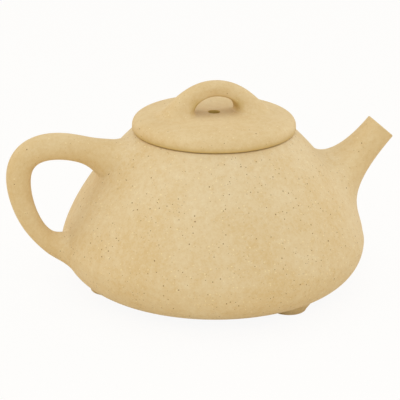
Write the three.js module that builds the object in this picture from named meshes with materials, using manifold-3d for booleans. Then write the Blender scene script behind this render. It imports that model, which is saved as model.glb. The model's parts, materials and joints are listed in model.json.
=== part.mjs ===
// A round stoneware teapot of pale sandy clay, on three small feet, with a bridge knob on its lid.
// It is put together from beaten, rolled and turned pieces of clay, and each piece is a solid here.
// Millimetres, +Z up. The spout points along +X and the handle along -X.
import * as THREE from 'three';
import { mergeVertices } from 'three/addons/utils/BufferGeometryUtils.js';
import Module from 'manifold-3d';

const wasm = await Module();
wasm.setup();

const degree = Math.PI / 180;

// Pot: outside radii and heights above the table
const mouthRadius = 30.0;
const mouthHeight = 60.8;
const bellyRadius = 57.6;
const bellyHeight = 18.6;
const baseInset = 16.8;
const baseHeight = 2.7;
const baseRadius = bellyRadius - baseInset;

// Pot: how the outline leaves the mouth and rounds the belly and the base's edge
const shoulderSlope = 43.5 * degree;
const shoulderReach = 31.3;
const bellyUpperRound = 2.4;
const bellyLowerRound = 9.0;
const baseEdgeReach = 9.0;

// Pot: walls, the shoulder disc, and the mouth ring with its ledge for the lid
const wallThickness = 3.0;
const baseThickness = 3.4;
const shoulderDiscHeight = 8.4;
const mouthRingHeight = 2.4;
const mouthLedge = 5.0;
const ringJointHeight = mouthHeight - mouthRingHeight;
const shoulderJointHeight = ringJointHeight - shoulderDiscHeight;
const mouthBoreRadius = mouthRadius - mouthLedge;
// The gap that is left where a curved piece is luted to another
const lutingGap = 0.3;

// Feet: one below the handle and one on each side of the spout, which stand a little further in
const footRadius = 7.2;
const footTopRadius = 11.4;
const footEdgeRound = 1.2;
const frontFootInset = 1.7;
const frontFootTurn = 59 * degree;
const footSunkHeight = 4.5;

// Spout: lip, where its upper and lower lines leave the pot, and its bore
const lipRadius = 6.1;
const lipOverhang = 8.5;
const lipDrop = 3.6;
const lipTilt = 50 * degree;
const spoutUpperJoinDrop = 8.5;
const spoutLowerJoinDrop = 5.4;
const spoutRootHalfWidth = 12.7;
const spoutWidthPower = 1.7;
const spoutUpperLipPull = 4.8;
const spoutUpperRootPull = 10.1;
const spoutLowerLipPull = 31.5;
const spoutLowerRootPull = 18.5;
const lipWall = 1.6;
const boreRootRadius = 6.5;
const boreRootRise = 21.4;
const boreRootPull = 7.0;
const boreLipPull = 12.0;
const boreOvershoot = 1.0;

// Strainer: a half ball with holes, behind the spout
const strainerWall = 1.6;
const strainerRim = 0.8;
const strainerHoleRadius = 0.9;
const strainerHolePitch = 26 * degree;
const strainerHoleRows = 2;
const strainerRowHoles = 6;

// Handle: its centre line, how thick it is on the way, and how it widens into the pot
const handleUpperJoinDrop = 8.8;
const handleLowerJoinRise = 1.4;
const handleOverhang = 16.4;
const handleFarDrop = 14.8;
const handleUpperTilt = 28.9 * degree;
const handleUpperPull = 22.0;
const handleFarUpperPull = 15.9;
const handleFarLowerPull = 7.3;
const handleLowerPull = 13.0;
const handleUpperRadius = 5.1;
const handleMiddleRadius = 5.4;
const handleLowerRadius = 3.0;
const handleUpperFlare = 3.4;
const handleUpperFlareLength = 6.9;
const handleLowerFlare = 3.1;
const handleLowerFlareLength = 5.8;

// Lid: plate, flange and vent
const lidSeatGap = 0.3;
const lidOverhang = 0.65;
const lidEdgeHeight = 1.1;
const lidThickness = 6.6;
const lidDomePower = 5.5;
const lidEdgePower = 3.0;
const ventRadius = 2.1;
const flangeDepth = 9.0;
const flangeWall = 2.6;
const flangeClearance = 0.4;

// Knob: a bridge over the vent
const knobHeight = 11.9;
const knobHoleHeight = 6.4;
const knobHalfSpan = 24.0;
const knobHoleHalfSpan = 6.0;
const knobTopPull = 13.3;
const knobFootPull = 3.0;
const knobHoleTopPull = 9.2;
const knobHoleFootPull = 2.7;
const knobHalfWidth = 3.9;
const knobFootHalfWidth = 8.7;
const knobWidthPower = 2;

// How finely round shapes are cut
const turnSegments = 48;
const footSegments = 24;
const limbSides = 16;
const ballSegments = 20;
const ballRings = 12;
const holeSides = 6;
const sideSamples = 12;
const spoutStations = 16;
const handleStations = 30;
const knobStations = 9;
const domeSteps = 9;
const edgeSteps = 3;

// How deep the roots of spout, handle and knob start below the surface that cuts them,
// and how far a cutting bar passes the wall that it cuts
const rootDepth = 1.2;
const cutReach = 3.0;

const clay = { color: 0xdfc89c, roughness: 0.86, metalness: 0 };
const smoothClay = { color: 0xdbbd8b, roughness: 0.8, metalness: 0 };

const vector = (x, y) => new THREE.Vector2(x, y);
const levelAxis = new THREE.Vector3(0, 1, 0);
const mix = THREE.MathUtils.lerp;

// Any closed geometry as a solid that can be joined and cut
function solid(geometry) {
  const bare = geometry.clone();
  bare.deleteAttribute('normal');
  bare.deleteAttribute('uv');
  const merged = mergeVertices(bare, 1e-4);
  const corners = merged.index.array;
  const triangles = [];
  for (let i = 0; i < corners.length; i += 3) {
    const [a, b, c] = corners.subarray(i, i + 3);
    if (a !== b && b !== c && c !== a) triangles.push(a, b, c);
  }
  return new wasm.Manifold(new wasm.Mesh({
    numProp: 3,
    vertProperties: new Float32Array(merged.attributes.position.array),
    triVerts: new Uint32Array(triangles),
  }));
}

// A solid as a named mesh with a clay of its own
function piece(name, shape, finish) {
  const { vertProperties, triVerts } = shape.getMesh();
  const geometry = new THREE.BufferGeometry();
  geometry.setAttribute('position', new THREE.BufferAttribute(vertProperties, 3));
  geometry.setIndex(new THREE.BufferAttribute(triVerts, 1));
  geometry.computeVertexNormals();
  const mesh = new THREE.Mesh(geometry, new THREE.MeshStandardMaterial(finish));
  mesh.name = name;
  return mesh;
}

// A solid turned about the pot's axis from a closed outline that runs anticlockwise
function turned(outline, segments = turnSegments) {
  const closed = [...outline, outline[0].clone()];
  const geometry = new THREE.LatheGeometry(closed, segments);
  geometry.rotateX(Math.PI / 2);
  return solid(geometry);
}

// One closed skin over a row of rings with as many points each
function skin(rings) {
  const sides = rings[0].length;
  const middles = [rings[0], rings.at(-1)].map(
    (ring) => ring.reduce((sum, point) => sum.add(point), new THREE.Vector3()).divideScalar(sides));
  const points = [...rings.flat(), ...middles];
  const first = points.length - 2;
  const index = [];
  for (let k = 0; k < sides; k++) {
    const next = (k + 1) % sides;
    for (let row = 0; row < rings.length - 1; row++) {
      const a = row * sides;
      const b = a + sides;
      index.push(a + k, a + next, b + next, a + k, b + next, b + k);
    }
    const last = (rings.length - 1) * sides;
    index.push(first, next, k, first + 1, last + k, last + next);
  }
  const geometry = new THREE.BufferGeometry().setFromPoints(points);
  geometry.setIndex(index);
  return solid(geometry);
}

// A ring across the pot's middle plane: a and b are its ends there, a on the left of the way on
function ring(a, b, halfWidth) {
  const points = [];
  for (let k = 0; k < limbSides; k++) {
    const angle = 2 * Math.PI * k / limbSides;
    const share = (1 + Math.cos(angle)) / 2;
    points.push(new THREE.Vector3(mix(b.x, a.x, share), -halfWidth * Math.sin(angle), mix(b.y, a.y, share)));
  }
  return points;
}

// The pot's outline, mouth to belly and belly to base, as one line that runs from 0 to 2
const shoulderLine = new THREE.CubicBezierCurve(
  vector(mouthRadius, mouthHeight),
  vector(mouthRadius + shoulderReach * Math.cos(shoulderSlope),
    mouthHeight - shoulderReach * Math.sin(shoulderSlope)),
  vector(bellyRadius, bellyHeight + bellyUpperRound),
  vector(bellyRadius, bellyHeight));
const underLine = new THREE.CubicBezierCurve(
  vector(bellyRadius, bellyHeight),
  vector(bellyRadius, bellyHeight - bellyLowerRound),
  vector(baseRadius + baseEdgeReach, baseHeight),
  vector(baseRadius, baseHeight));

function side(along, inset = 0) {
  const line = along < 1 ? shoulderLine : underLine;
  const t = along < 1 ? along : along - 1;
  const tangent = line.getTangent(t);
  const outward = vector(-tangent.y, tangent.x);
  const point = line.getPoint(t).addScaledVector(outward, -inset);
  return { point, outward, down: tangent };
}

// Where the outline, moved inwards by inset, passes a height
function sideAt(height, inset = 0) {
  let low = 0;
  let high = 2;
  for (let step = 0; step < 40; step++) {
    const middle = (low + high) / 2;
    if (side(middle, inset).point.y > height) low = middle;
    else high = middle;
  }
  return low;
}

// Points on that outline between two heights, the upper one first
function sidePoints(top, bottom, inset = 0) {
  const start = sideAt(top, inset);
  const end = sideAt(bottom, inset);
  const count = Math.max(2, Math.ceil(sideSamples * (end - start) / 2) + 1);
  const points = [];
  for (let i = 0; i <= count; i++) points.push(side(mix(start, end, i / count), inset).point);
  points[0].y = top;
  points[count].y = bottom;
  return points;
}

// Solids that stand for the whole pot and for its hollow, to cut its neighbours with
function wholePot(growth) {
  const points = [];
  for (let i = 0; i <= 2 * sideSamples; i++) points.push(side(i / sideSamples, -growth).point);
  return turned([vector(0, mouthHeight + growth), vector(0, baseHeight - growth), ...points.reverse()]);
}
const baseTop = baseHeight + baseThickness;
function hollow(inset) {
  const points = sidePoints(mouthHeight - wallThickness, baseTop + inset, wallThickness + inset);
  return turned([vector(0, points[0].y), vector(0, points.at(-1).y), ...points.reverse()]);
}
const potWithGap = wholePot(lutingGap);

// Pot: base, wall, shoulder and mouth ring lie on each other with flat joints
function baseDisc() {
  const edge = sidePoints(baseTop, baseHeight);
  return turned([vector(0, baseTop), vector(0, baseHeight), ...edge.reverse()]);
}

// Where the bore of the spout starts, outside and inside the wall
const boreRoot = side(sideAt(bellyHeight + boreRootRise));
const boreRootInside = boreRoot.point.clone().addScaledVector(boreRoot.outward, -wallThickness);

// A wall with the hole that the spout stands over
function bodyWall() {
  const inner = sidePoints(shoulderJointHeight, baseTop, wallThickness);
  const outer = sidePoints(shoulderJointHeight, baseTop);
  const length = wallThickness + 2 * cutReach;
  const hole = new THREE.CylinderGeometry(boreRootRadius, boreRootRadius, length, limbSides);
  const outward = new THREE.Vector3(boreRoot.outward.x, 0, boreRoot.outward.y);
  hole.applyQuaternion(new THREE.Quaternion().setFromUnitVectors(levelAxis, outward));
  const middle = boreRoot.point.clone().addScaledVector(boreRoot.outward, -wallThickness / 2);
  hole.translate(middle.x, 0, middle.y);
  return turned([...inner, ...outer.reverse()]).subtract(solid(hole));
}

function shoulderDisc() {
  const outer = sidePoints(ringJointHeight, shoulderJointHeight);
  const inner = sidePoints(ringJointHeight - wallThickness, shoulderJointHeight, wallThickness);
  return turned([vector(mouthBoreRadius, ringJointHeight), vector(mouthBoreRadius, inner[0].y),
    ...inner.filter((point) => point.x > mouthBoreRadius), ...outer.reverse()]);
}

function mouthRing() {
  const outer = sidePoints(mouthHeight, ringJointHeight);
  return turned([vector(mouthBoreRadius, mouthHeight), vector(mouthBoreRadius, ringJointHeight),
    ...outer.reverse()]);
}

// Spout: two lines in the middle plane, from inside the wall to the lip
const lipMiddle = vector(bellyRadius + lipOverhang, mouthHeight - lipDrop);
const lipWay = vector(Math.cos(lipTilt), Math.sin(lipTilt));
const lipAcross = vector(-lipWay.y, lipWay.x);

function spoutLine(joinHeight, lipSide, lipPull, rootPull) {
  const root = side(sideAt(joinHeight), rootDepth);
  const lip = lipMiddle.clone().addScaledVector(lipAcross, lipSide * lipRadius);
  return new THREE.CubicBezierCurve(root.point,
    root.point.clone().addScaledVector(root.down, lipSide * rootPull),
    lip.clone().addScaledVector(lipWay, -lipPull), lip);
}

function spout() {
  const upper = spoutLine(mouthHeight - spoutUpperJoinDrop, 1, spoutUpperLipPull, spoutUpperRootPull);
  const lower = spoutLine(bellyHeight - spoutLowerJoinDrop, -1, spoutLowerLipPull, spoutLowerRootPull);
  const outer = [];
  for (let i = 0; i <= spoutStations; i++) {
    const t = i / spoutStations;
    const halfWidth = mix(lipRadius, spoutRootHalfWidth, (1 - t) ** spoutWidthPower);
    outer.push(ring(upper.getPoint(t), lower.getPoint(t), halfWidth));
  }
  const line = new THREE.CubicBezierCurve(
    boreRootInside,
    boreRootInside.clone().addScaledVector(boreRoot.outward, boreRootPull),
    lipMiddle.clone().addScaledVector(lipWay, -boreLipPull),
    lipMiddle.clone().addScaledVector(lipWay, boreOvershoot));
  const bore = [];
  for (let i = 0; i <= spoutStations; i++) {
    const t = i / spoutStations;
    const middle = line.getPoint(t);
    const way = line.getTangent(t);
    const radius = mix(boreRootRadius, lipRadius - lipWall, t);
    const across = vector(-way.y, way.x);
    bore.push(ring(middle.clone().addScaledVector(across, radius),
      middle.clone().addScaledVector(across, -radius), radius));
  }
  return skin(outer).subtract(skin(bore)).subtract(potWithGap);
}

// Strainer: a half ball behind the hole in the wall, with holes in rows about its middle
function strainer() {
  const ballRadius = boreRootRadius + strainerRim + strainerWall;
  const ball = (radius) => solid(new THREE.SphereGeometry(radius, ballSegments, ballRings)
    .translate(boreRootInside.x, 0, boreRootInside.y));
  let shape = ball(ballRadius).subtract(ball(ballRadius - strainerWall)).intersect(hollow(lutingGap));
  const inward = new THREE.Vector3(-boreRoot.outward.x, 0, -boreRoot.outward.y);
  const length = strainerWall + 2 * cutReach;
  for (let row = 0; row <= strainerHoleRows; row++) {
    const count = Math.max(1, strainerRowHoles * row);
    for (let k = 0; k < count; k++) {
      const way = inward.clone().applyAxisAngle(levelAxis, row * strainerHolePitch);
      way.applyAxisAngle(inward, 2 * Math.PI * k / count);
      const hole = new THREE.CylinderGeometry(strainerHoleRadius, strainerHoleRadius, length, holeSides);
      hole.applyQuaternion(new THREE.Quaternion().setFromUnitVectors(levelAxis, way));
      const middle = way.multiplyScalar(ballRadius - strainerWall / 2);
      hole.translate(boreRootInside.x + middle.x, middle.y, boreRootInside.y + middle.z);
      shape = shape.subtract(solid(hole));
    }
  }
  return shape;
}

// Handle: its centre line runs from the lower root, out and up, to the upper root
function handle() {
  const upper = side(sideAt(mouthHeight - handleUpperJoinDrop), rootDepth).point;
  const lower = side(sideAt(bellyHeight + handleLowerJoinRise), rootDepth).point;
  const far = vector(bellyRadius + handleOverhang, mouthHeight - handleFarDrop);
  const tail = new THREE.CubicBezierCurve(lower,
    vector(lower.x + handleLowerPull, lower.y),
    vector(far.x, far.y - handleFarLowerPull), far);
  const arm = new THREE.CubicBezierCurve(far, vector(far.x, far.y + handleFarUpperPull),
    vector(upper.x + handleUpperPull * Math.cos(handleUpperTilt),
      upper.y + handleUpperPull * Math.sin(handleUpperTilt)), upper);
  const path = new THREE.CurvePath();
  path.add(tail);
  path.add(arm);
  const length = path.getLength();
  const rings = [];
  for (let i = 0; i <= handleStations; i++) {
    const t = i / handleStations;
    const middle = path.getPointAt(t);
    const way = path.getTangentAt(t);
    const radius = handleLowerRadius * (1 - t) ** 2 + 2 * handleMiddleRadius * t * (1 - t)
      + handleUpperRadius * t ** 2
      + handleLowerFlare * Math.exp(-((t * length / handleLowerFlareLength) ** 2))
      + handleUpperFlare * Math.exp(-(((1 - t) * length / handleUpperFlareLength) ** 2));
    const outward = vector(way.y, -way.x);
    const outer = middle.clone().addScaledVector(outward, radius);
    const inner = middle.clone().addScaledVector(outward, -radius);
    outer.x *= -1;
    inner.x *= -1;
    rings.push(ring(outer, inner, radius));
  }
  return skin(rings).subtract(potWithGap);
}

// Foot: a short turned peg with a rounded edge, cut to the pot above it
function foot(away, angle) {
  const top = baseHeight + footSunkHeight;
  const outline = [vector(0, top), vector(0, 0), vector(footRadius - footEdgeRound, 0)];
  for (let k = 1; k <= edgeSteps; k++) {
    const turn = k / edgeSteps * Math.PI / 2;
    outline.push(vector(footRadius - footEdgeRound + footEdgeRound * Math.sin(turn),
      footEdgeRound * (1 - Math.cos(turn))));
  }
  outline.push(vector(footTopRadius, top));
  const place = [away * Math.cos(angle), away * Math.sin(angle), 0];
  return turned(outline, footSegments).translate(place).subtract(potWithGap);
}

// Lid: a domed plate with a round edge, a flange below it and a bridge knob on top
const lidUnderside = mouthHeight + lidSeatGap;
const lidRadius = mouthRadius + lidOverhang;
const lidTop = lidUnderside + lidThickness;

function domeHeight(radius) {
  const share = Math.min(1, radius / lidRadius) ** lidDomePower;
  return lidUnderside + lidEdgeHeight + (lidThickness - lidEdgeHeight) * (1 - share) ** (1 / lidEdgePower);
}

// The plate's outline from its seat, round the edge and up over the dome
function lidOutline(innerRadius, growth) {
  const points = [];
  for (let k = 0; k < edgeSteps; k++) {
    const turn = k / edgeSteps * Math.PI / 2;
    points.push(vector(mouthRadius + (lidOverhang + growth) * Math.sin(turn),
      lidUnderside + lidEdgeHeight * (1 - Math.cos(turn))));
  }
  for (let k = 0; k <= domeSteps; k++) {
    const radius = Math.max(innerRadius, lidRadius * Math.cos(k / domeSteps * Math.PI / 2));
    points.push(vector(radius + (k === 0 ? growth : 0), domeHeight(radius) + growth));
  }
  return points;
}

function lidPlate() {
  return turned([vector(ventRadius, lidUnderside), ...lidOutline(ventRadius, 0)]);
}

function lidFlange() {
  const outer = mouthBoreRadius - flangeClearance;
  const inner = outer - flangeWall;
  const bottom = lidUnderside - flangeDepth;
  return turned([vector(inner, lidUnderside), vector(inner, bottom), vector(outer, bottom),
    vector(outer, lidUnderside)]);
}

// A line of the knob, from its middle down into the lid; way is 1 where its foot spreads outwards
function knobLine(top, topPull, halfSpan, footPull, way) {
  const depth = domeHeight(halfSpan) - rootDepth;
  return new THREE.CubicBezierCurve(vector(0, top), vector(topPull, top),
    vector(halfSpan - way * footPull, depth), vector(halfSpan, depth));
}

function knob() {
  const upper = knobLine(lidTop + knobHeight, knobTopPull, knobHalfSpan, knobFootPull, 1);
  const gap = knobLine(lidTop + knobHoleHeight, knobHoleTopPull, knobHoleHalfSpan, knobHoleFootPull, -1);
  const rings = [];
  for (let i = -knobStations; i <= knobStations; i++) {
    const t = Math.abs(i) / knobStations;
    const above = upper.getPoint(t);
    const below = gap.getPoint(t);
    above.x *= Math.sign(i);
    below.x *= Math.sign(i);
    rings.push(ring(above, below, mix(knobHalfWidth, knobFootHalfWidth, t ** knobWidthPower)));
  }
  const plate = turned([vector(0, lidUnderside), ...lidOutline(0, lutingGap)]);
  return skin(rings).subtract(plate);
}

const teapot = new THREE.Group();
teapot.add(piece('body_wall', bodyWall(), clay));
teapot.add(piece('base_disc', baseDisc(), clay));
teapot.add(piece('shoulder_disc', shoulderDisc(), clay));
teapot.add(piece('mouth_ring', mouthRing(), clay));
teapot.add(piece('spout', spout(), smoothClay));
teapot.add(piece('strainer', strainer(), smoothClay));
teapot.add(piece('handle', handle(), smoothClay));
teapot.add(piece('foot_far_side', foot(baseRadius - frontFootInset, frontFootTurn), clay));
teapot.add(piece('foot_below_handle', foot(baseRadius, Math.PI), clay));
teapot.add(piece('foot_near_side', foot(baseRadius - frontFootInset, -frontFootTurn), clay));
teapot.add(piece('lid_flange', lidFlange(), smoothClay));
teapot.add(piece('lid_plate', lidPlate(), smoothClay));
teapot.add(piece('knob', knob(), smoothClay));

// The origin lies on the table, midway between handle and spout
const box = new THREE.Box3().setFromObject(teapot);
teapot.position.x = -(box.min.x + box.max.x) / 2;

export default teapot;
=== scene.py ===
# %% [markdown]
# # A round clay teapot
# This lesson dresses a packed teapot in Blender. The real pot is beaten, rolled and turned from pale
# sandy clay, luted together with wet clay, smoothed with a horn blade and fired without a glaze.
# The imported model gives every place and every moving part. Here each clay piece is made again
# as one smooth surface, because the soft joints between the pieces are what makes such a pot.

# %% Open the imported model
import json
import math

import bmesh
import bpy
import numpy as np
from mathutils import Matrix, Vector

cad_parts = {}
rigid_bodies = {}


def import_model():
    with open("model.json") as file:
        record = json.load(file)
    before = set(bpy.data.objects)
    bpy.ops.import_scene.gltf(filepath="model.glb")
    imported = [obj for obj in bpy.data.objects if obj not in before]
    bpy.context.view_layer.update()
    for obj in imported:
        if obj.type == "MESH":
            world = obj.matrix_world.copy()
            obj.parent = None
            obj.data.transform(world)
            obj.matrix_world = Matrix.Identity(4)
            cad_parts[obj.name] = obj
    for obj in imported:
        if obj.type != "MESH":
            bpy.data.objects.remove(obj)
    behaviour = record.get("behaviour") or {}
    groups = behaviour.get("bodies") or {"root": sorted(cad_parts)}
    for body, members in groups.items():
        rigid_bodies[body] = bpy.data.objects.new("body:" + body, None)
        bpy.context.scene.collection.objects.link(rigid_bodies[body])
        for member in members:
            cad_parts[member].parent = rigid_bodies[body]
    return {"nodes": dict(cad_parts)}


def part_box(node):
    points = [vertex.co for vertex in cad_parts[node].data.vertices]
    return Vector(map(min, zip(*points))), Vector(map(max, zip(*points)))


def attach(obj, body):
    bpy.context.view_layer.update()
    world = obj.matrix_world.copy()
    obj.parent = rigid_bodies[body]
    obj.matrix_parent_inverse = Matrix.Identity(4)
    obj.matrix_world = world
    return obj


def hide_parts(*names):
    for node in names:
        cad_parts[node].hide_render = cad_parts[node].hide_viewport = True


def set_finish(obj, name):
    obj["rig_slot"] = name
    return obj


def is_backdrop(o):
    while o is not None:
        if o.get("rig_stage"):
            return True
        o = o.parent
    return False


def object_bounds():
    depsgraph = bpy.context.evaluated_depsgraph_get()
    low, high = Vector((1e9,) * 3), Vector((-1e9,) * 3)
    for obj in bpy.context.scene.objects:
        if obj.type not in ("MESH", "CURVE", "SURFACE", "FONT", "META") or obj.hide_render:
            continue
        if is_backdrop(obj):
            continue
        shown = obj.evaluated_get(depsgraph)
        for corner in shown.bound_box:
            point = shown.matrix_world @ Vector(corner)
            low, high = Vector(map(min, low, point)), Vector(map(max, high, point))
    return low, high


for thing in list(bpy.data.objects):
    bpy.data.objects.remove(thing)
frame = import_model()
cad_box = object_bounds()
print("packed nodes:", ", ".join(sorted(frame["nodes"])))

# %% [markdown]
# ## The measures
# All lengths are millimetres, because a potter thinks in them, and become metres only in the mesh.
# Pieces are worked out round the pot's own axis, with X along the spout and Z up from the table,
# and move to that axis at the end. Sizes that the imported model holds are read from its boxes.

# %% Sizes of the pot and the lid
MM = 0.001


def node_box(name):
    """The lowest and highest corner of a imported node, in millimetres."""
    low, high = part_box(name)
    return np.array(low) / MM, np.array(high) / MM


lid_low, lid_high = node_box("lid_plate")
pot_axis = (lid_low + lid_high)[0] / 2
lid_radius = (lid_high - lid_low)[0] / 2
lid_underside = lid_low[2]
lid_top = lid_high[2]
mouth_height = node_box("mouth_ring")[1][2]
mouth_radius = 30.0
belly_radius = node_box("body_wall")[1][1]
belly_height = 18.6
base_height = node_box("base_disc")[0][2]
base_radius = 40.8
print(f"pot axis at x {pot_axis:.2f}, belly radius {belly_radius:.1f}, lid radius {lid_radius:.2f} mm")

# %% [markdown]
# ## The pot's outline
# A template cut from bamboo gives a real pot its outline. Here two cubic curves do the same:
# one from the mouth to the widest point of the belly, one from there to the edge of the base.
# Everything that grows out of the pot starts on this outline, so it is kept as a list of points
# with the way along it, and later steps ask it for a place, a slope or a height.

# %% One curve for every soft line
def cubic(start, start_pull, end_pull, end, t):
    """A cubic curve: the four points weighed with (1-t)^3, 3(1-t)^2 t, 3(1-t) t^2 and t^3."""
    t = np.asarray(t, float)[..., None]
    return ((1 - t) ** 3 * start + 3 * (1 - t) ** 2 * t * start_pull
            + 3 * (1 - t) * t ** 2 * end_pull + t ** 3 * end)


def along_line(points):
    """How far each point lies along a line: the running sum of the steps between its points."""
    steps = np.linalg.norm(np.diff(points, axis=0), axis=1)
    return np.concatenate([[0.0], np.cumsum(steps)])


# %% The outline from mouth to base
shoulder_slope = math.radians(43.5)
shoulder_reach = 31.3
belly_upper_round = 2.4
belly_lower_round = 9.0
base_edge_reach = 9.0

mouth = np.array([mouth_radius, mouth_height])
belly = np.array([belly_radius, belly_height])
base_edge = np.array([base_radius, base_height])
shoulder_way = np.array([math.cos(shoulder_slope), -math.sin(shoulder_slope)])
fine = np.linspace(0, 1, 401)
shoulder = cubic(mouth, mouth + shoulder_reach * shoulder_way,
                 belly + [0, belly_upper_round], belly, fine)
under = cubic(belly, belly - [0, belly_lower_round], base_edge + [base_edge_reach, 0], base_edge, fine)
outline = np.vstack([shoulder, under[1:]])
outline_way = along_line(outline)
outline_slope = np.gradient(outline, outline_way, axis=0)
outline_slope /= np.linalg.norm(outline_slope, axis=1)[:, None]
print(f"outline: {outline_way[-1]:.1f} mm from mouth to base")


# %% Places on the pot
def way_at(height):
    """How far down the outline a height lies."""
    return np.interp(-height, -outline[:, 1], outline_way)


def on_pot(way, sideways, inset=0.0):
    """Points on the pot and the directions that point out of it there.
    A point is a way down the outline, turned about the axis by arcsin(sideways / radius)."""
    radius, height = (np.interp(way, outline_way, column) for column in outline.T)
    slope_r, slope_z = (np.interp(way, outline_way, column) for column in outline_slope.T)
    turn = np.arcsin(np.clip(sideways / radius, -1, 1))
    out = np.stack([-slope_z * np.cos(turn), -slope_z * np.sin(turn), slope_r + 0 * turn], -1)
    out /= np.linalg.norm(out, axis=-1)[..., None]
    point = np.stack([radius * np.cos(turn), radius * np.sin(turn), height + 0 * turn], -1)
    return point - inset * out, out


# %% [markdown]
# ## From numbers to a mesh
# Every piece is a grid of points: rows along it, columns round it. The columns close on
# themselves, and a row that shrinks to one point closes a pole. One function makes the faces of
# such grids, joins what meets, turns all faces outwards and smooths them.

# %% Grids into pieces
def make_piece(name, grids, body, node, slot):
    """One mesh from grids whose columns run round: each face joins rows i, i+1 and columns j, j+1."""
    points, faces, start = [], [], 0
    for grid in grids:
        rows, columns = grid.shape[:2]
        corner = start + np.arange(rows * columns).reshape(rows, columns)
        beside = np.roll(corner, -1, axis=1)
        quads = np.stack([corner[:-1], beside[:-1], beside[1:], corner[1:]], -1)
        faces.append(quads.reshape(-1, 4))
        points.append(grid.reshape(-1, 3))
        start += rows * columns
    mesh = bpy.data.meshes.new(name)
    world = (np.vstack(points) + [pot_axis, 0, 0]) * MM
    mesh.from_pydata(world.tolist(), [], np.vstack(faces).tolist())
    tidy(mesh)
    piece = bpy.data.objects.new(name, mesh)
    bpy.context.scene.collection.objects.link(piece)
    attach(piece, body)
    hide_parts(*node)
    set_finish(piece, slot)
    print(f"{name}: {len(mesh.polygons)} faces, rides on {body}")
    return piece


def tidy(mesh):
    """Joins points that meet, drops faces without area, points all faces outwards and smooths them."""
    work = bmesh.new()
    work.from_mesh(mesh)
    bmesh.ops.remove_doubles(work, verts=work.verts, dist=1e-6)
    bmesh.ops.dissolve_degenerate(work, edges=work.edges, dist=1e-7)
    bmesh.ops.recalc_face_normals(work, faces=work.faces)
    work.to_mesh(mesh)
    work.free()
    mesh.shade_smooth()


# %% Where one clay runs into the other
def own_points(piece):
    """The piece's points in millimetres from the pot's axis."""
    corners = np.empty(3 * len(piece.data.vertices), np.float32)
    piece.data.vertices.foreach_get("co", corners)
    return corners.reshape(-1, 3) / MM - [pot_axis, 0, 0]


def write_value(piece, name, values):
    """Writes one number for each point of a piece, for its finish to read."""
    written = piece.data.attributes.new(name, "FLOAT", "POINT")
    written.data.foreach_set("value", values.astype(np.float32))


def share_clay(piece, reach):
    """Writes the vertex value pot_share: 1 on the pot's surface, falling to 0 at that reach outside
    it, as 1 - 3u^2 + 2u^3 of the share u of the reach."""
    points = own_points(piece)
    flat = np.stack([np.hypot(points[:, 0], points[:, 1]), points[:, 2]], -1)
    near = np.linalg.norm(flat[:, None] - outline[None, ::4], axis=2).min(axis=1)
    share = np.clip(near / reach, 0, 1)
    write_value(piece, "pot_share", 1 - 3 * share ** 2 + 2 * share ** 3)


# %% Turned pieces and softened edges
turn_columns = 256


def turned(profile, columns=turn_columns):
    """A profile of (radius, height) turned about the axis: (r cos a, r sin a, z)."""
    angle = np.linspace(0, 2 * math.pi, columns, endpoint=False)
    radius, height = profile[:, :1], profile[:, 1:]
    return np.stack([radius * np.cos(angle), radius * np.sin(angle), height + 0 * angle], -1)


def softened(line, corners, steps=6):
    """A line with some of its corners cut back by a reach and closed with a quadratic curve.
    corners gives the point's number and the reach; the curve is (1-t)^2 a + 2(1-t)t b + t^2 c.
    One more point before and after each curve keeps the shading of the straight parts flat."""
    margin = 0.4
    pieces, last = [], 0
    t = np.linspace(0, 1, steps + 1)[:, None]
    for number, reach in sorted(corners):
        before, corner, after = line[number - 1], line[number], line[number + 1]
        a = corner + (before - corner) * reach / np.linalg.norm(before - corner)
        c = corner + (after - corner) * reach / np.linalg.norm(after - corner)
        shy = a + (before - corner) * margin * reach / np.linalg.norm(before - corner)
        past = c + (after - corner) * margin * reach / np.linalg.norm(after - corner)
        curve = (1 - t) ** 2 * a + 2 * (1 - t) * t * corner + t ** 2 * c
        pieces += [line[last:number], shy[None], curve, past[None]]
        last = number + 1
    return np.vstack([*pieces, line[last:]])


# %% [markdown]
# ## The pot itself
# On the real pot the wall, the base, the shoulder and the mouth ring are separate pieces that were
# beaten together until no joint shows. One turned shell stands for all four: outside, rounded
# mouth, the flat seat of the lid, the bore and the inside. The spout's hole is then cut through the
# wall with an exact Boolean, because a hole through a turned shell has no simple formula.

# %% The pot's profile
wall = 3.0
base_wall = 3.4
mouth_bore = 25.0
floor_corner = 1.5

inner = outline - wall * np.stack([-outline_slope[:, 1], outline_slope[:, 0]], -1)
floor_height = base_height + base_wall
inside = inner[(inner[:, 1] > floor_height) & (inner[:, 0] > mouth_bore)]
thin = slice(None, None, 8)
outside = outline[::-1][thin]
if outside[-1, 1] < mouth_height:
    outside = np.vstack([outside, mouth])
profile = np.vstack([[0, base_height], outside, [mouth_bore, mouth_height],
                     [mouth_bore, np.interp(mouth_bore, inner[:, 0], inner[:, 1])],
                     inside[thin], [inside[-1, 0] - floor_corner, floor_height], [0, floor_height]])
rim = len(outside)
pot_profile = softened(profile, [(rim, 0.35), (rim + 1, 0.5), (rim + 2, 0.8)])
pot = make_piece("clay_pot", [turned(pot_profile)], "pot",
                 ["body_wall", "base_disc", "shoulder_disc", "mouth_ring"], "body_clay")

# %% Where the spout's bore starts
bore_root_radius = 6.5
bore_root_height = 40.0
bore_way = way_at(bore_root_height)
bore_mouth, bore_out = (value[0] for value in on_pot(np.array([bore_way]), np.array([0.0])))
bore_inside = bore_mouth - wall * bore_out
bore_down = np.cross([0, 1, 0], bore_out)


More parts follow.
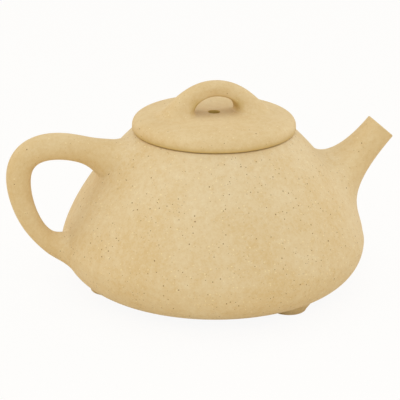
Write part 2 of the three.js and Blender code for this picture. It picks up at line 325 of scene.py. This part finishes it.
def rings_about(middles, ups, sides, radii, count):
    """Circles round a line of points: middle + radius (cos a up + sin a side), one row for each."""
    angle = np.linspace(0, 2 * math.pi, count, endpoint=False)[:, None]
    middles, ups, sides = (np.atleast_2d(x)[:, None, :] for x in (middles, ups, sides))
    radii = np.atleast_1d(radii)[:, None, None]
    return middles + radii * (np.cos(angle) * ups + np.sin(angle) * sides)


def cut(piece, grids):
    """Cuts closed grids out of a piece with the exact Boolean, and keeps the result as its mesh."""
    tool = make_piece("cutter", grids, "pot", [], "body_clay")
    change = piece.modifiers.new("cut", "BOOLEAN")
    change.operation, change.solver, change.object = "DIFFERENCE", "EXACT", tool
    depsgraph = bpy.context.evaluated_depsgraph_get()
    result = bpy.data.meshes.new_from_object(piece.evaluated_get(depsgraph))
    piece.modifiers.remove(change)
    bpy.data.objects.remove(tool)
    piece.data = result
    result.shade_smooth()
    result.set_sharp_from_angle(angle=math.radians(35))


def bar(start, end, up, side, radius, count=48):
    """A closed round bar between two points: two rings and a pole at each end."""
    ways = np.array([start, start, end, end])
    return rings_about(ways, up, side, np.array([0, radius, radius, 0]), count)


cut(pot, [bar(bore_mouth + 2 * bore_out, bore_inside - 2 * bore_out, -bore_down, np.array([0, 1, 0]),
              bore_root_radius)])
print(f"spout hole: {2 * bore_root_radius:.0f} mm wide, {bore_root_height:.0f} mm up")

# %% [markdown]
# ## How a limb grows out of the pot
# Spout, handle, knob and feet are pressed on and their joints are smoothed away with wet clay, so
# the pot's surface flows into each of them. That is made here with one cubic curve for each point
# round the limb. It starts on a footprint drawn on the carrying surface, sets off along that
# surface, and arrives at a ring of the limb along the limb. So no seam shows at either end.

# %% Footprints and skins
round_limb = np.linspace(0, 2 * math.pi, 96, endpoint=False)
half_turn = (1 - np.cos(round_limb)) / 2
sink = 0.012


def across(first, second, third=None):
    """A value for each point round a limb: first at its front, second at its back, third at its
    sides, or halfway between the two there."""
    plain = first + (second - first) * half_turn
    if third is None:
        return plain
    return plain + (third - (first + second) / 2) * np.sin(round_limb) ** 2


def unit(vectors):
    return vectors / np.linalg.norm(vectors, axis=-1)[..., None]


def pot_footprint(front_height, back_height, half_width):
    """A footprint on the pot: the way down the outline goes from front to back with the cosine of
    the angle round the limb, and the width with its sine."""
    ways = across(way_at(front_height), way_at(back_height))
    return on_pot(ways, half_width * np.sin(round_limb), sink)


def into_limb(foot, out):
    """The direction in the surface that crosses the footprint's edge at right angles, inwards."""
    edge = np.roll(foot, -1, axis=0) - np.roll(foot, 1, axis=0)
    way = unit(np.cross(out, edge))
    inwards = ((foot.mean(axis=0) - foot) * way).sum(-1).sum()
    return way * np.sign(inwards)


def skin(foot, out, root_pull, ring, way, ring_pull, rows):
    """The skin from a footprint to a ring: one cubic for each point round the limb, from the
    footprint along the surface to the ring along the limb. Rows lie closer near the footprint."""
    t = np.linspace(0, 1, rows)[:, None] ** 1.25 * np.ones(len(foot))
    return cubic(foot, foot + np.atleast_1d(root_pull)[:, None] * into_limb(foot, out),
                 ring - np.atleast_1d(ring_pull)[:, None] * way, ring, t)


def pole(ring):
    """A row of points in the middle of a ring, which closes it."""
    return np.broadcast_to(ring.mean(axis=0), ring.shape)[None]


# %% [markdown]
# ## The spout
# A short tapering tube that leaves the shoulder low and ends in a clean cut across. Its upper line
# swings up in one bow, and its lower line first hugs the belly. The outside is one skin
# from the pot to the lip, then come the lip's cut with its small rounded edges, and the bore.

# %% The spout's outside and lip
lip_radius = 6.0
lip_bore = 4.5
lip_reach = 8.83
lip_drop = 3.2
lip_middle = np.array([belly_radius + lip_reach, 0, mouth_height - lip_drop])
lip_tilt = math.radians(49)
lip_way = np.array([math.cos(lip_tilt), 0, math.sin(lip_tilt)])
lip_up = np.array([-math.sin(lip_tilt), 0, math.cos(lip_tilt)])
sideways = np.array([0, 1, 0])
lip_edge = 0.45
spout_root_pull = across(10.6, 9.2, 13.5)
spout_lip_pull = across(9.2, 34.8, 19.1)

spout_foot, spout_out = pot_footprint(front_height=51.2, back_height=15.8, half_width=24.4)
lip_ring = rings_about(lip_middle, lip_up, sideways, lip_radius, len(round_limb))[0]
spout_skin = skin(spout_foot, spout_out, spout_root_pull,
                  lip_ring - lip_edge * lip_way, lip_way, spout_lip_pull, rows=56)
corner = np.linspace(0, math.pi / 2, 6)
lip_radii = np.concatenate([lip_radius - lip_edge * (1 - np.cos(corner)),
                            [lip_radius - 1.4 * lip_edge, lip_bore + 1.4 * lip_edge],
                            lip_bore + lip_edge * (1 - np.sin(corner))])
lip_depths = np.concatenate([-lip_edge * (1 - np.sin(corner)), [0, 0],
                             -lip_edge * (1 - np.cos(corner))])
lip_cut = rings_about(lip_middle + lip_depths[:, None] * lip_way, lip_up, sideways, lip_radii,
                      len(round_limb))

# %% The spout's bore
bore_root_pull = 7.0
bore_lip_pull = 12.0
bore_share = np.linspace(0.97, 0.12, 40)
bore_line = cubic(bore_inside, bore_inside + bore_root_pull * bore_out,
                  lip_middle - bore_lip_pull * lip_way, lip_middle - lip_edge * lip_way,
                  bore_share)
bore_ways = unit(np.gradient(bore_line, axis=0)) * -1
bore_ups = np.cross(sideways, bore_ways) * -1
bore_radii = bore_root_radius + (lip_bore - bore_root_radius) * bore_share
bore = rings_about(bore_line, bore_ups, sideways, bore_radii, len(round_limb))
spout = make_piece("clay_spout", [np.vstack([spout_skin, lip_cut, bore, spout_skin[:1]])], "pot",
                   ["spout"], "limb_clay")
share_clay(spout, 9.0)

# %% [markdown]
# ## The handle
# A rolled bar, thinner toward its tail, bent into a rounded triangle for two fingers. Its middle
# line is two cubic curves that meet at the farthest point. The bar's radius follows a cubic law
# from top to tail, and widens a little into each root. The tube is made as rings along that line,
# and a skin joins each of its ends to a footprint on the pot.

# %% The handle's middle line
handle_top_height = 51.7
handle_low_height = 19.6
handle_depth = 1.6
handle_reach = 16.4
handle_drop = 14.6
handle_tilt = math.radians(33)
arm_pulls = 17.4, 17.5
tail_pulls = 10.2, 11.3

handle_top, handle_low = on_pot(np.array([way_at(handle_top_height), way_at(handle_low_height)]),
                                np.zeros(2), handle_depth)[0]
handle_far = np.array([belly_radius + handle_reach, 0, mouth_height - handle_drop])
up = np.array([0, 0, 1])
out_way = np.array([1, 0, 0])
arm_way = np.array([math.cos(handle_tilt), 0, math.sin(handle_tilt)])
t = np.linspace(0, 1, 201)
arm = cubic(handle_top, handle_top + arm_pulls[0] * arm_way,
            handle_far + arm_pulls[1] * up, handle_far, t)
tail = cubic(handle_far, handle_far - tail_pulls[0] * up,
             handle_low + tail_pulls[1] * out_way, handle_low, t)
handle_line = np.vstack([arm, tail[1:]])
handle_way = along_line(handle_line)
handle_length = handle_way[-1]


def handle_radius(way):
    """The bar's radius: a cubic law from top to tail, and a bell-shaped flare at each root."""
    plain = cubic(4.21, 6.06, 3.97, 3.02, way / handle_length)[..., 0]
    top_flare = 3.82 * np.exp(-(way / 7.9) ** 2)
    return plain + top_flare + 2.53 * np.exp(-((handle_length - way) / 7.0) ** 2)


# %% The handle's skin
root_length = 4.6
ways = np.linspace(root_length, handle_length - root_length, 120)
middles = np.stack([np.interp(ways, handle_way, column) for column in handle_line.T], -1)
heading = unit(np.gradient(middles, ways, axis=0))
outer = np.cross(heading, sideways)
tube = rings_about(middles, outer, sideways, handle_radius(ways), len(round_limb))
top_foot, top_out = pot_footprint(front_height=60.3, back_height=43.8, half_width=14.2)
low_foot, low_out = pot_footprint(front_height=9.8, back_height=25.8, half_width=10.5)
top_skin = skin(top_foot, top_out, across(1.5, 2.3, 4.2), tube[0], unit(tube[1] - tube[0]),
                across(2.0, 1.6, 2.0), rows=20)
low_skin = skin(low_foot, low_out, across(3.4, 1.2, 4.1), tube[-1], unit(tube[-2] - tube[-1]),
                across(2.5, 1.6, 2.0), rows=20)
grid = np.vstack([pole(top_foot), top_skin, tube[1:-1], low_skin[::-1], pole(low_foot)])
handle = make_piece("clay_handle", [grid * [-1, 1, 1]], "pot", ["handle"], "limb_clay")
share_clay(handle, 5.0)
print(f"handle: {handle_length:.0f} mm long along its middle")

# %% [markdown]
# ## The feet
# Three small cones, wider at the top, luted under the belly. Each one is a ring at the table with
# a rounded edge, and a skin that spreads upwards into the pot's underside.

# %% Three feet
foot_radius = 6.8
foot_top_radius = 9.0
foot_edge = 0.7
foot_spread = 0.5
foot_painted_shade = 0.25
foot_places = {"foot_far_side": (39.1, 59),
               "foot_below_handle": (40.8, 180),
               "foot_near_side": (39.1, -59)}


def under_pot(x, y):
    """Points on the pot's underside above places on the table, and the directions out of it.
    The outline is upright at the belly, so its radii are held a hair apart for the slope there."""
    radius = np.hypot(x, y)
    apart = 1e-9 * np.arange(len(under))
    edge_z = np.interp(radius, under[::-1, 0], under[::-1, 1])
    slope = np.interp(radius, under[::-1, 0],
                      np.gradient(under[:, 1], under[:, 0] + apart)[::-1])
    slope = np.where(radius < base_radius, 0, slope)
    out = unit(np.stack([slope * x / radius, slope * y / radius, -np.ones_like(x)], -1))
    return np.stack([x, y, edge_z], -1) - sink * out, out


for name, (away, degrees) in foot_places.items():
    angle = math.radians(degrees)
    middle = away * np.array([math.cos(angle), math.sin(angle), 0])
    reach = rings_about(middle, out_way, sideways, foot_top_radius + foot_spread, len(round_limb))[0]
    foot_print, foot_out = under_pot(reach[:, 0], reach[:, 1])
    bottom_radii = np.concatenate([foot_radius - foot_edge * (1 - np.cos(corner)),
                                   [foot_radius - 1.5 * foot_edge, 0]])
    bottom_heights = np.concatenate([foot_edge * (1 - np.sin(corner)), [0, 0]])
    bottom = rings_about(middle + bottom_heights[:, None] * up, out_way, sideways,
                         bottom_radii, len(round_limb))
    cone = skin(foot_print, foot_out, 0.6, bottom[0], unit(bottom[0] - foot_print), 1.4, rows=14)
    foot = make_piece("clay_" + name, [np.vstack([pole(foot_print), cone, bottom[1:]])],
                      "pot", [name], "body_clay")
    # Painted shade: each foot stands in the belly's shade, so its whole clay is painted a little darker.
    write_value(foot, "painted_shade", np.full(len(foot.data.vertices), foot_painted_shade))

# %% [markdown]
# ## The strainer
# Behind the spout's hole a half ball with small holes keeps the leaves back. It is pressed from
# a sheet of clay, pierced with a needle tube and luted over the hole. The half ball is
# a row of circles about the bore's direction, and its foot spreads softly over the wall inside.

# %% The strainer's ball
ball_radius = 8.9
ball_wall = 1.6
apron_radius = 10.2
apron_sink = 0.02
apron_hold = 0.5
ball_side = np.array([0, 1, 0])
ball_up = -bore_down


def ball(radius, first, last, rows):
    """Circles on a ball about the bore's inner end. For each angle p from first to last, in degrees,
    a circle of radius R sin p lies R cos p inwards, with R the ball's radius."""
    polar = np.radians(np.linspace(first, last, rows))
    middles = bore_inside - (radius * np.cos(polar))[:, None] * bore_out
    return rings_about(middles, ball_up, ball_side, radius * np.sin(polar), len(round_limb))


cap = ball(ball_radius, 0, 72, 24)
print_up = apron_radius * np.cos(round_limb)
print_side = apron_radius * np.sin(round_limb)
inner_foot, inner_out = on_pot(bore_way - print_up, print_side, wall - apron_sink)
ball_way = unit(cap[-2] - cap[-1])
apron = skin(inner_foot, -inner_out, 1.6, cap[-1], ball_way, 2.4, rows=12)
sunk = on_pot(bore_way - print_up, print_side, wall - apron_hold)[0]
hollow = ball(ball_radius - ball_wall, 94, 0, 24)
strainer = make_piece("clay_strainer",
                      [np.vstack([cap[:-1], apron[::-1], sunk[None], hollow])], "pot", ["strainer"],
                      "limb_clay")

# %% The strainer's holes
hole_radius = 0.9
hole_pitch = 26
needles = []
for row, count in enumerate([1, 6, 12]):
    tilt = math.radians(row * hole_pitch)
    for turn in np.linspace(0, 2 * math.pi, count, endpoint=False):
        lean = math.cos(turn) * ball_up + math.sin(turn) * ball_side
        way = -math.cos(tilt) * bore_out + math.sin(tilt) * lean
        upright = unit(np.cross(way, ball_side + 0.01 * ball_up))
        needles.append(bar(bore_inside + (ball_radius - ball_wall - 1) * way,
                           bore_inside + (ball_radius + 1) * way,
                           upright, np.cross(way, upright), hole_radius, 16))
cut(strainer, needles)
print(f"strainer: {len(needles)} holes of {2 * hole_radius:.1f} mm")

# %% [markdown]
# ## The lid
# A flat plate, domed a little and rolled over at its edge, with a ring below that
# sits in the mouth and keeps the lid from sliding while tea is poured. The plate's edge and the
# mouth are ground together, and the fine dark line between them is the gap that is left here.

# %% The lid's plate
edge_height = 1.1
dome_power = 5.5
edge_power = 3.0
vent_radius = 2.1
rim_shade_height = 2.2
rim_painted_shade = 0.75
inner_plate_radius = 12.0


def dome(radius):
    """The plate's upper side: full height in the middle, falling as (1 - (r/R)^a)^(1/b) at the edge."""
    share = np.clip(radius / lid_radius, 0, 1) ** dome_power
    rise = lid_top - lid_underside - edge_height
    return lid_underside + edge_height + rise * (1 - share) ** (1 / edge_power)


roll = np.linspace(0, math.pi / 2, 12)
under_edge = np.stack([mouth_radius + (lid_radius - mouth_radius) * np.sin(roll),
                       lid_underside + edge_height * (1 - np.cos(roll))], -1)
shrink = lid_radius * np.cos(np.linspace(0, math.pi / 2, 72))[1:]
shrink = shrink[shrink > vent_radius + 0.8]
over = np.stack([shrink, dome(shrink)], -1)
vent = np.array([[vent_radius, dome(vent_radius)], [vent_radius, lid_underside]])
plate_line = np.vstack([under_edge, over, vent, [inner_plate_radius, lid_underside], under_edge[:1]])
first_vent = len(under_edge) + len(over)
plate_line = softened(plate_line, [(first_vent, 0.45), (first_vent + 1, 0.4)])
lid = make_piece("clay_lid_plate", [turned(plate_line)], "lid_top", ["lid_plate"], "limb_clay")
# Painted shade: the vent's wall is painted in full shade, and the plate's rolled edge and underside are
# painted darker the lower they lie, where shade falls under the edge.
lid_points = own_points(lid)
from_axis = np.hypot(lid_points[:, 0], lid_points[:, 1])
rim_share = np.clip(1 - (lid_points[:, 2] - lid_underside) / rim_shade_height, 0, 1)
write_value(lid, "painted_shade", np.where(from_axis < vent_radius + 0.2, 1, rim_painted_shade * rim_share))

# %% The lid's ring
ring_low, ring_high = node_box("lid_flange")
ring_wall = 2.6
ring_fillet = 1.4
ring_outer = (ring_high - ring_low)[1] / 2
ring_inner = ring_outer - ring_wall
ring_line = np.array([[ring_inner, ring_high[2]], [ring_inner, ring_low[2]], [ring_outer, ring_low[2]],
                      [ring_outer, ring_high[2]], [ring_inner - ring_fillet, ring_high[2]],
                      [ring_inner, ring_high[2] - ring_fillet]])
ring_line = softened(ring_line[[5, 1, 2, 3, 4, 5]], [(1, 0.7), (2, 0.8), (4, 0.3)])
make_piece("clay_lid_flange", [turned(ring_line)], "lid_flange", ["lid_flange"], "limb_clay")

# %% [markdown]
# ## The knob
# A small bridge over the vent, pulled from the same clay and smoothed into the lid on both sides.
# Its two halves are mirror images. Each goes from a footprint on the plate to the oval
# section in the middle of the bridge.

# %% Footprints on the lid
knob_top = node_box("knob")[1][2]
gap_height = 6.4
gap_top = lid_top + gap_height


def superellipse(front_power, back_power):
    """A squarish oval: sign(c) |c|^(2/n) and the same of s, for cosine c, sine s and the power n,
    which is one for the front half and another for the back half."""
    front, side = np.cos(round_limb), np.sin(round_limb)
    bend = 2 / np.where(front > 0, front_power, back_power)
    return np.sign(front) * np.abs(front) ** bend, np.sign(side) * np.abs(side) ** bend


def lid_footprint(outer_reach, gap_reach, half_width):
    """A footprint on the plate, a slightly squarish oval seen from above, and the directions out of
    the dome above it."""
    along, aside = superellipse(2.2, 2.3)
    x = (outer_reach + gap_reach) / 2 + (outer_reach - gap_reach) / 2 * along
    y = half_width * aside
    radius = np.hypot(x, y)
    slope = (dome(radius + 0.01) - dome(radius - 0.01)) / 0.02
    out = unit(np.stack([-slope * x / radius, -slope * y / radius, np.ones_like(x)], -1))
    return np.stack([x, y, dome(radius)], -1) - sink * out, out


# %% The knob's two halves
knob_half_width = 3.85
knob_rise, knob_spread = superellipse(2.2, 3.6)
knob_ring = np.stack([0 * round_limb, knob_half_width * knob_spread,
                      (knob_top + gap_top) / 2 + (knob_top - gap_top) / 2 * knob_rise], -1)
knob_foot, knob_out = lid_footprint(outer_reach=22.95, gap_reach=6.9, half_width=8.7)
knob_root_pull = across(4.4, 1.85, 5.5)
knob_top_pull = across(13.3, 8.2, 7.25)
half = skin(knob_foot, knob_out, knob_root_pull, knob_ring, -out_way + 0 * knob_ring,
            knob_top_pull, rows=56)
grid = np.vstack([pole(knob_foot), half, half[-2::-1] * [-1, 1, 1], pole(knob_foot) * [-1, 1, 1]])
knob = make_piece("clay_knob", [grid], "lid_top", ["knob"], "limb_clay")

# %% Painted shade inside the bridge
knob_painted_shade = 0.6
leg_reach = 11.0
knob_points = own_points(knob)
# Painted shade on the legs' inner faces and under the bridge, where little light reaches; it fades out
# just above the plate.
inner_share = np.clip((leg_reach - np.abs(knob_points[:, 0])) / 3, 0, 1)
below_share = np.clip((gap_top + 0.5 - knob_points[:, 2]) / 3, 0, 1)
above_share = np.clip((knob_points[:, 2] - lid_top) / 2, 0, 1)
write_value(knob, "painted_shade", knob_painted_shade * inner_share * below_share * above_share)

# %% [markdown]
# ## Writing a finish as sums
# A finish is a tree of nodes, but what it does is arithmetic. The small class below wraps one socket,
# so that a sum written in Python adds the Math nodes for it. Any other node comes from one function:
# its settings first, because they can change its sockets, then its values and links.

# %% Sockets that can be added and multiplied
class Wire:
    """One output of a node. Arithmetic on it adds Math nodes to the same tree."""

    def __init__(self, tree, socket):
        self.tree = tree
        self.socket = socket

    def sum(self, operation, *values, clamp=False):
        return node(self.tree, "ShaderNodeMath", {"operation": operation, "use_clamp": clamp}, values)

    def __add__(self, other):
        return self.sum("ADD", self, other)

    def __sub__(self, other):
        return self.sum("SUBTRACT", self, other)

    def __rsub__(self, other):
        return self.sum("SUBTRACT", other, self)

    def __mul__(self, other):
        return self.sum("MULTIPLY", self, other)

    def __truediv__(self, other):
        return self.sum("DIVIDE", self, other)

    __radd__ = __add__
    __rmul__ = __mul__

    def clamped(self):
        return self.sum("ADD", self, 0.0, clamp=True)


def node(tree, kind, settings=None, inputs=(), output=0):
    """Adds a node. inputs is a list, or a dict by name or number, of values and wires."""
    made = tree.nodes.new(kind)
    for key, value in (settings or {}).items():
        setattr(made, key, value)
    for key, value in (inputs.items() if isinstance(inputs, dict) else enumerate(inputs)):
        if isinstance(value, Wire):
            tree.links.new(value.socket, made.inputs[key])
        else:
            made.inputs[key].default_value = value
    return Wire(tree, made.outputs[output]) if made.outputs else made


def blend(share, first, second):
    """A colour between two others, as far as share says."""
    return node(share.tree, "ShaderNodeMix", {"data_type": "RGBA"}, {0: share, 6: first, 7: second}, 2)


# %% [markdown]
# ## The clay
# The fired clay is pale yellow, with a slow drift of tone, small dark brown grains of iron ore,
# and lighter grains of the same size. Grains are cells of a Voronoi pattern: some cells are
# picked by their random colour, and each grain is a ball round its cell's point, bent a little by
# a fine noise. Everything reads Object coordinates, so the grains run on across the pieces and stay
# where they are. In narrow places and under things, where shade falls, painted shade darkens the
# clay toward ochre: a vertex value on each such piece says where and how much.

# %% Colours as a painter would give them
def paint(red, green, blue):
    """A colour in the eight-bit steps of a paint program, as the linear light that nodes work in."""
    steps = np.array([red, green, blue]) / 255
    linear = np.where(steps <= 0.04045, steps / 12.92, ((steps + 0.055) / 1.055) ** 2.4)
    return (*linear, 1.0)


def noise(place, size, detail=3.0, rough=0.55):
    """A soft pattern whose swells are about size millimetres wide, from 0 to 1."""
    return node(place.tree, "ShaderNodeTexNoise", None,
                {"Vector": place, "Scale": 1 / (size * MM), "Detail": detail, "Roughness": rough})


grain_edge = 0.06


def grains(place, cell, share, small, large):
    """How much of a grain a point is, from 0 to 1: the size of the cells, the share of them that
    holds a grain, and the smallest and largest radius of a grain. Lengths are in millimetres."""
    settings = {"Vector": place, "Scale": 1 / (cell * MM)}
    distance = node(place.tree, "ShaderNodeTexVoronoi", None, settings)
    colour = node(place.tree, "ShaderNodeTexVoronoi", None, settings, "Color")
    pick = node(place.tree, "ShaderNodeSeparateColor", None, [colour], 0)
    size = node(place.tree, "ShaderNodeSeparateColor", None, [colour], 1)
    chosen = pick.sum("LESS_THAN", pick, share)
    radius = (small + (large - small) * size) / cell
    edge = grain_edge / cell
    return chosen * ((radius - distance) / edge + 0.5).clamped()


def attribute(tree, name):
    """The value of that name at a point of a piece, and 0 on a piece that has none."""
    return node(tree, "ShaderNodeAttribute", {"attribute_name": name}, output="Fac")


# %% The clay's finish
def clay(name, kind):
    """Unglazed clay: tone, grains, roughness and relief. kind is 0 for the pot's sandy clay and 1 for
    the finer clay of the limbs, and the vertex value pot_share takes it back toward 0 at their roots."""
    finish = bpy.data.materials.new(name)
    finish.use_nodes = True
    tree = finish.node_tree
    shader = tree.nodes["Principled BSDF"]
    place = node(tree, "ShaderNodeTexCoord", output="Object")
    fine_clay = kind - attribute(tree, "pot_share")
    shake = node(tree, "ShaderNodeTexNoise", None,
                 {"Vector": place, "Scale": 900.0, "Detail": 1.0}, "Color")
    bent = node(tree, "ShaderNodeVectorMath", {"operation": "MULTIPLY_ADD"},
                [shake, (0.4 * MM, 0.4 * MM, 0.4 * MM), place])
    drift = noise(place, 22, 2.0)
    mottle = noise(place, 2.2, 4.0, 0.65)
    sand = noise(place, 0.7, 3.0, 0.7)
    way = ((drift - 0.5) * 1.4 + (mottle - 0.5) * 1.5 + (sand - 0.5) * 1.1 + 0.5).clamped()
    pale = blend(fine_clay, paint(229, 212, 177), paint(227, 206, 164))
    warm = blend(fine_clay, paint(218, 192, 143), paint(216, 189, 139))
    tone = blend(way, pale, warm)
    dark = grains(bent, cell=1.6, share=0.62 - 0.53 * fine_clay, small=0.08, large=0.25)
    dust = grains(bent, cell=0.9, share=0.45 - 0.20 * fine_clay, small=0.06, large=0.18)
    light = grains(bent, cell=1.2, share=0.42 - 0.32 * fine_clay, small=0.12, large=0.28)
    tone = blend(light * 0.65, tone, paint(244, 228, 184))
    tone = blend(dust * 0.5, tone, paint(168, 138, 94))
    tone = blend(dark * 0.9, tone, paint(138, 100, 56))
    # Painted shade: the clay is darkened toward ochre as far as the vertex value says shade falls.
    tone = blend(attribute(tree, "painted_shade"), tone, paint(192, 163, 88))
    tree.links.new(tone.socket, shader.inputs["Base Color"])
    rough = 0.72 + (mottle - 0.5) * 0.12 - fine_clay * 0.06
    tree.links.new(rough.socket, shader.inputs["Roughness"])
    shader.inputs["Specular IOR Level"].default_value = 0.4
    relief = noise(place, 6, 2.0) * 0.6 + noise(place, 0.5, 3.0) * 0.25 + light * 0.12 - dark * 0.12
    bump = node(tree, "ShaderNodeBump", None,
                {"Height": relief, "Strength": 0.6, "Distance": 0.15 * MM})
    tree.links.new(bump.socket, shader.inputs["Normal"])
    return finish


body_clay = clay("body_clay", 0.0)
limb_clay = clay("limb_clay", 1.0)

# %% Clay on every piece
for piece in bpy.context.scene.objects:
    if piece.type == "MESH":
        finish = limb_clay if piece.get("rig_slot") == "limb_clay" else body_clay
        piece.data.materials.clear()
        piece.data.materials.append(finish)

# %% [markdown]
# ## Floor, light and camera
# The photograph is taken in a light tent: soft light from all sides, a white table and nothing
# behind. Here the warm world is the tent, and four square lamps add light from the front, from
# above and from both sides. A wide floor carries the pot's faint shadow, and the camera sees it and
# the world as nearly white.

# %% The floor
def seeing_rays(tree):
    """1 for a ray that shows the background, from the camera or by way of a mirror or a glass."""
    camera_ray, glossy_ray, glass_ray = (node(tree, "ShaderNodeLightPath", output=f"Is {kind} Ray")
                                         for kind in ["Camera", "Glossy", "Transmission"])
    return (camera_ray + glossy_ray + glass_ray).clamped()


floor_size = 4.0
floor_glow = 0.92
floor_mesh = bpy.data.meshes.new("floor")
half_size = floor_size / 2
floor_mesh.from_pydata([(-half_size, -half_size, 0), (half_size, -half_size, 0),
                        (half_size, half_size, 0), (-half_size, half_size, 0)], [], [(0, 1, 2, 3)])
floor = bpy.data.objects.new("floor", floor_mesh)
bpy.context.scene.collection.objects.link(floor)
floor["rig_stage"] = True
floor_finish = bpy.data.materials.new("pale_floor")
floor_finish.use_nodes = True
tree = floor_finish.node_tree
tree.nodes.clear()
rays = seeing_rays(tree)
paper = node(tree, "ShaderNodeBsdfDiffuse", None, {"Color": (0.92, 0.85, 0.70, 1)})
glow = node(tree, "ShaderNodeEmission", None, {"Color": (1, 1, 1, 1), "Strength": 1.0})
seen = node(tree, "ShaderNodeMixShader", None, [rays * floor_glow, paper, glow])
node(tree, "ShaderNodeOutputMaterial", None, {"Surface": seen})
floor_mesh.materials.append(floor_finish)

# %% The room's light
pot_middle = Vector((0, 0, 0.04))
world = bpy.data.worlds.new("light_tent")
bpy.context.scene.world = world
world.use_nodes = True
tree = world.node_tree
tree.nodes.clear()
rays = seeing_rays(tree)
tent = node(tree, "ShaderNodeBackground", None, {"Color": (1.0, 0.905, 0.75, 1), "Strength": 0.55})
white = node(tree, "ShaderNodeBackground", None, {"Color": (1, 1, 1, 1), "Strength": 1.0})
seen = node(tree, "ShaderNodeMixShader", None, [rays, tent, white])
node(tree, "ShaderNodeOutputWorld", None, {"Surface": seen})


def soft_box(name, place, size, watts, colour):
    """A square lamp of that size at a place, turned toward the pot's middle; metres and watts."""
    lamp = bpy.data.lights.new(name, "AREA")
    lamp.size, lamp.energy, lamp.color = size, watts, colour
    holder = bpy.data.objects.new(name, lamp)
    bpy.context.scene.collection.objects.link(holder)
    holder.location = place
    holder.rotation_mode = "QUATERNION"
    holder.rotation_quaternion = (Vector(place) - pot_middle).to_track_quat("Z", "Y")
    return holder


soft_box("front_box", (-0.15, -0.9, 0.75), size=0.9, watts=4.2, colour=(0.90, 0.955, 1.0))
soft_box("top_box", (0.0, 0.1, 0.9), size=0.9, watts=1.9, colour=(0.92, 0.97, 1.0))
soft_box("left_box", (-0.85, 0.35, 0.35), size=0.7, watts=1.9, colour=(1.0, 0.90, 0.74))
soft_box("right_box", (0.95, 0.25, 0.35), size=0.7, watts=2.1, colour=(1.0, 0.95, 0.88))

# %% The camera
view_turn = math.radians(14.522)
view_fall = math.radians(19.672)
view_roll = math.radians(0.411)
lens_length = 153.31
eye_place = -157.57, -588.35, 250.41

forward = Vector((math.sin(view_turn) * math.cos(view_fall),
                  math.cos(view_turn) * math.cos(view_fall), -math.sin(view_fall)))
level = forward.cross(Vector((0, 0, 1))).normalized()
upright = level.cross(forward)
right = level * math.cos(view_roll) + upright * math.sin(view_roll)
top = upright * math.cos(view_roll) - level * math.sin(view_roll)
lens = bpy.data.cameras.new("camera")
lens.lens = lens_length
lens.sensor_width = 36.0
camera = bpy.data.objects.new("camera", lens)
bpy.context.scene.collection.objects.link(camera)
eye = (Vector((pot_axis, 0, 0)) + Vector(eye_place)) * MM
camera.matrix_world = Matrix.Translation(eye) @ Matrix((right, top, -forward)).transposed().to_4x4()
bpy.context.scene.camera = camera
bpy.context.scene.view_settings.view_transform = "Standard"

# %% Sizes before and after
for name, corners in {"cad": cad_box, "dressed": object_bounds()}.items():
    print(name, [round(value, 4) for corner in corners for value in corner])
